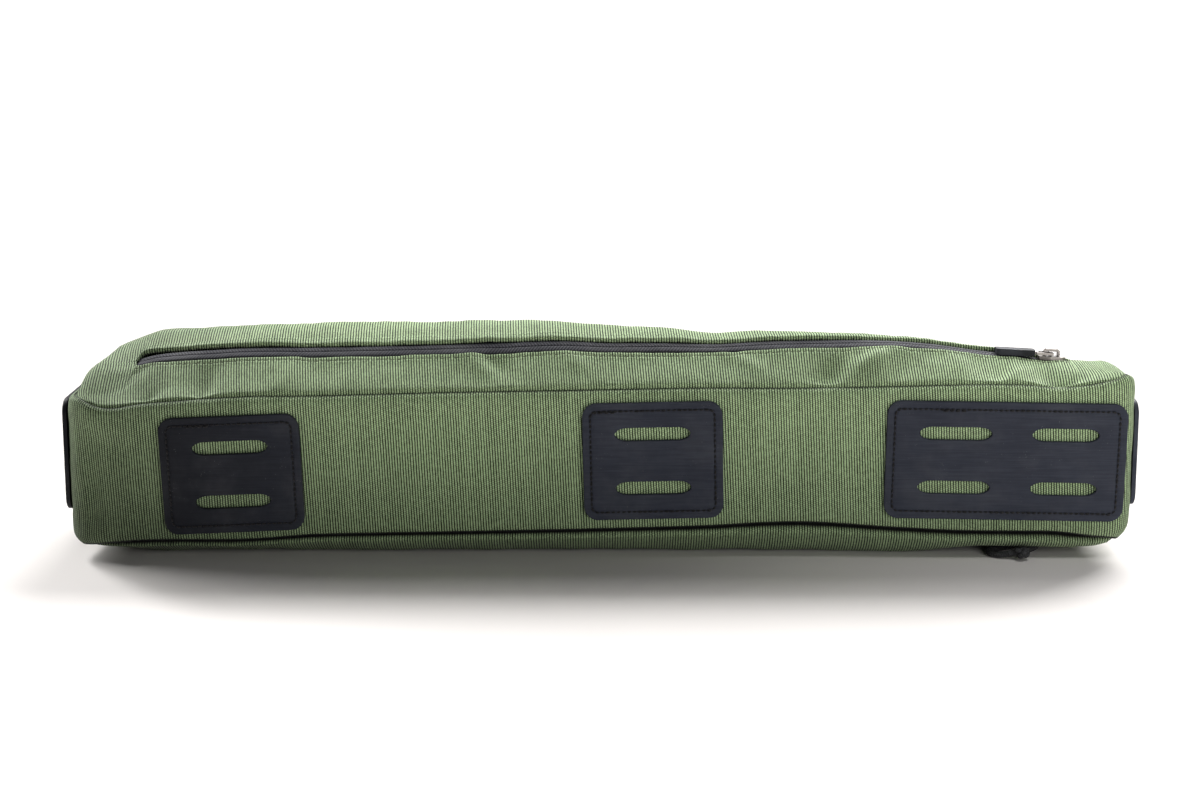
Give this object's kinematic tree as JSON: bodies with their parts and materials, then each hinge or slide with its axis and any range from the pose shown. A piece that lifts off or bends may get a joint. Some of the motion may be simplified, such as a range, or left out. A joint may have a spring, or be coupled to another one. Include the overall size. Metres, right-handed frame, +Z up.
{
  "type": "bicycle frame bag",
  "caption": "Wedge-shaped bicycle frame bag of ribbed green cloth lying on its side, with bulging zipped panels and slotted black strap anchors along its top edge and ends.",
  "frame": {"origin": "on the floor under the middle of the bag's bounding box", "axes": "+X along the top-tube edge towards the narrow front end, +Y from the top-tube edge to the lower edge, +Z up from the floor that the bag lies on"},
  "size_m": [0.489, 0.1262, 0.1011],
  "materials": {
    "cloth": "ribbed green woven cloth",
    "zip": "grey coated water-resistant zip",
    "metal": "dark plated metal",
    "tab": "black rubber",
    "cord": "black braided cord",
    "anchor": "matt black coated rubber sheet"
  },
  "bodies": {
    "bag": {"gusset": "cloth", "upper_panel": "cloth", "lower_panel": "cloth", "upper_zip": "zip", "lower_zip": "zip", "upper_slider": "metal", "lower_slider": "metal", "pull_cord_out": "cord", "pull_cord_back": "cord", "pull_knot": "cord", "anchor_patch_left": "anchor", "anchor_patch_middle": "anchor", "anchor_patch_right": "anchor", "anchor_patch_front_end": "anchor", "anchor_patch_rear_end": "anchor"},
    "zip_pull": {"pull_link": "metal", "pull_tab": "tab"}
  },
  "joints": [
    {"name": "zip_pull_swing", "type": "hinge", "parent": "bag", "child": "zip_pull", "pos_m": [0.20819, -0.02606, 0.09016], "axis": [-0.0378, 0.9981, -0.0477], "range_deg": [0, 175]}
  ]
}
